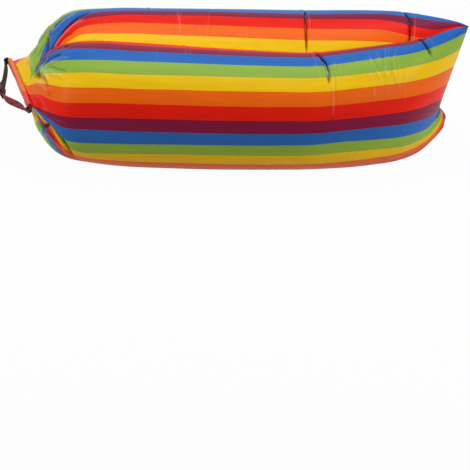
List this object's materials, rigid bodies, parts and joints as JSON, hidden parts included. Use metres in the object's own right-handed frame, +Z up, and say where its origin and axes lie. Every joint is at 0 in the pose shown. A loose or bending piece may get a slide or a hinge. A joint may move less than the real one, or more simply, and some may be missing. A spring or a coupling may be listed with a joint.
{
  "type": "inflatable air lounger",
  "caption": "Inflatable air lounger: striped air tubes joined along the middle, drawn to a raised pointed head end and to a rolled mouth with a webbing loop and side-release buckle",
  "frame": {"origin": "on the floor under the middle of the whole lounger, carry loop included", "axes": "+X towards the pointed head end, +Y towards the far tube in the picture, +Z up"},
  "size_m": [1.9243, 0.908, 0.545],
  "materials": {
    "striped_polyester": "coated plain-weave polyester with a soft sheen, in lengthwise stripes of red, orange, yellow, green, blue and purple",
    "bladder_film": "thin milky film",
    "seam_tape": "narrow woven tape",
    "hem_fabric": "the striped polyester, rolled up",
    "strip_plastic": "plain flexible strip",
    "black_webbing": "woven polyester webbing",
    "stitch_thread": "dense zigzag stitching",
    "buckle_plastic": "fine-grained moulded acetal"
  },
  "bodies": {
    "lounger": {"cover_near": "striped_polyester", "cover_far": "striped_polyester", "liner_near": "bladder_film", "liner_far": "bladder_film", "valley_seam_tape": "seam_tape", "belly_seam_tape": "seam_tape", "prow_seam_tape": "seam_tape", "closure_roll": "hem_fabric", "mouth_stiffener_front": "strip_plastic", "mouth_stiffener_back": "strip_plastic", "anchor_tab_near": "black_webbing", "anchor_tab_far": "black_webbing"},
    "carry_loop": {"strap_far": "black_webbing", "strap_near": "black_webbing", "buckle_socket": "buckle_plastic", "bartack_far": "stitch_thread"},
    "buckle_plug_half": {"buckle_plug": "buckle_plastic", "bartack_near": "stitch_thread"},
    "prong_upper": {"buckle_prong_upper": "buckle_plastic"},
    "prong_lower": {"buckle_prong_lower": "buckle_plastic"}
  },
  "joints": [
    {"name": "carry_loop_swing", "type": "hinge", "parent": "lounger", "child": "carry_loop", "pos_m": [-0.87303, 0, 0.26], "axis": [-0.108, 0.9942, 0], "range_deg": [-60, 120]},
    {"name": "buckle_release", "type": "slide", "parent": "carry_loop", "child": "buckle_plug_half", "axis": [-0.1261, -0.983, -0.1337], "range_m": [0, 0.036], "deforming": ["strap_near", "buckle_prong_upper", "buckle_prong_lower"]},
    {"name": "prong_press_upper", "type": "hinge", "parent": "buckle_plug_half", "child": "prong_upper", "pos_m": [-0.95195, 0.0111, 0.22867], "axis": [-0.8585, 0.1756, -0.4818], "range_deg": [0, 13], "stiffness_Nm_per_rad": 0.5},
    {"name": "prong_press_lower", "type": "hinge", "parent": "buckle_plug_half", "child": "prong_lower", "pos_m": [-0.94052, 0.01235, 0.20875], "axis": [0.8585, -0.1756, 0.4818], "range_deg": [0, 13], "stiffness_Nm_per_rad": 0.5}
  ]
}
